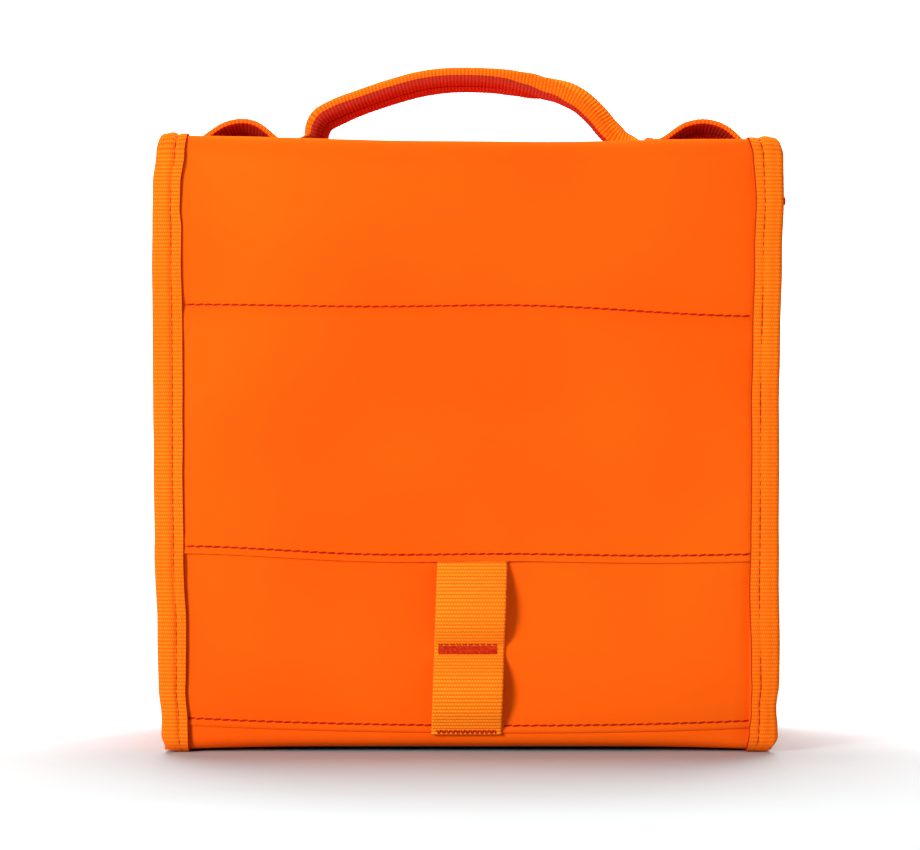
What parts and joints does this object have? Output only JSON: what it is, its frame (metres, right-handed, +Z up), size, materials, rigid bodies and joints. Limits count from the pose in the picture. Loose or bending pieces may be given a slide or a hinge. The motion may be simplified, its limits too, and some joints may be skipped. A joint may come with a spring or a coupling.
{
  "type": "insulated packing cube",
  "caption": "Soft padded cube with bound edges, a fold-over cover and closing flap, a webbing carry handle, end loops and a ladder strap on its front.",
  "frame": {"origin": "on the floor, below the centre of the whole cube's box", "axes": "+Z up, -Y out of the front face that carries the ladder strap, +X to the right as seen from the front"},
  "size_m": [0.226, 0.144, 0.2542],
  "materials": {
    "coated_sheet": "matt coated cloth with a soft sheen",
    "edge_tape": "ribbed tape folded over the edge",
    "webbing": "ribbed woven webbing",
    "lining": "smooth welded lining",
    "foam": "closed-cell foam board",
    "board": "plain stiff sheet",
    "closure_tape": "hook and loop tape",
    "thread": "sewing thread"
  },
  "bodies": {
    "pouch": {"front_main_panel": "coated_sheet", "front_lower_panel": "coated_sheet", "base_panel": "coated_sheet", "rear_panel": "coated_sheet", "side_panel_left": "coated_sheet", "side_panel_right": "coated_sheet", "edge_binding_left": "edge_tape", "edge_binding_right": "edge_tape", "front_foam_upper": "foam", "front_foam_middle": "foam", "front_foam_lower": "foam", "rear_foam": "foam", "left_foam": "foam", "right_foam": "foam", "base_foam": "foam", "base_board": "board", "liner": "lining", "mouth_binding_left": "edge_tape", "mouth_binding_rear": "edge_tape", "mouth_binding_right": "edge_tape", "loop_tape": "closure_tape", "ladder_strap": "webbing", "ladder_bar_tacks": "thread"},
    "cover": {"cover_panel": "coated_sheet", "cover_foam": "foam", "cover_lining": "lining", "cover_binding_left": "edge_tape", "cover_binding_right": "edge_tape", "end_loop_left": "webbing", "end_loop_right": "webbing", "handle_bar_tacks": "thread"},
    "flap": {"flap_panel": "coated_sheet", "flap_foam": "foam", "flap_lining": "lining", "flap_binding_left": "edge_tape", "flap_binding_right": "edge_tape", "flap_hem_binding": "edge_tape", "hook_tape": "closure_tape", "pull_tab": "webbing"},
    "handle": {"handle": "webbing"}
  },
  "joints": [
    {"name": "cover_fold", "type": "hinge", "parent": "pouch", "child": "cover", "pos_m": [0, -0.064, 0.223], "axis": [1, 0, 0], "range_deg": [0, 110]},
    {"name": "flap_fold", "type": "hinge", "parent": "cover", "child": "flap", "pos_m": [0, 0.071, 0.223], "axis": [1, 0, 0], "range_deg": [0, 100]},
    {"name": "handle_tilt", "type": "hinge", "parent": "cover", "child": "handle", "pos_m": [0, 0.0035, 0.226], "axis": [1, 0, 0], "range_deg": [-60, 60], "stiffness_Nm_per_rad": 0.01}
  ]
}
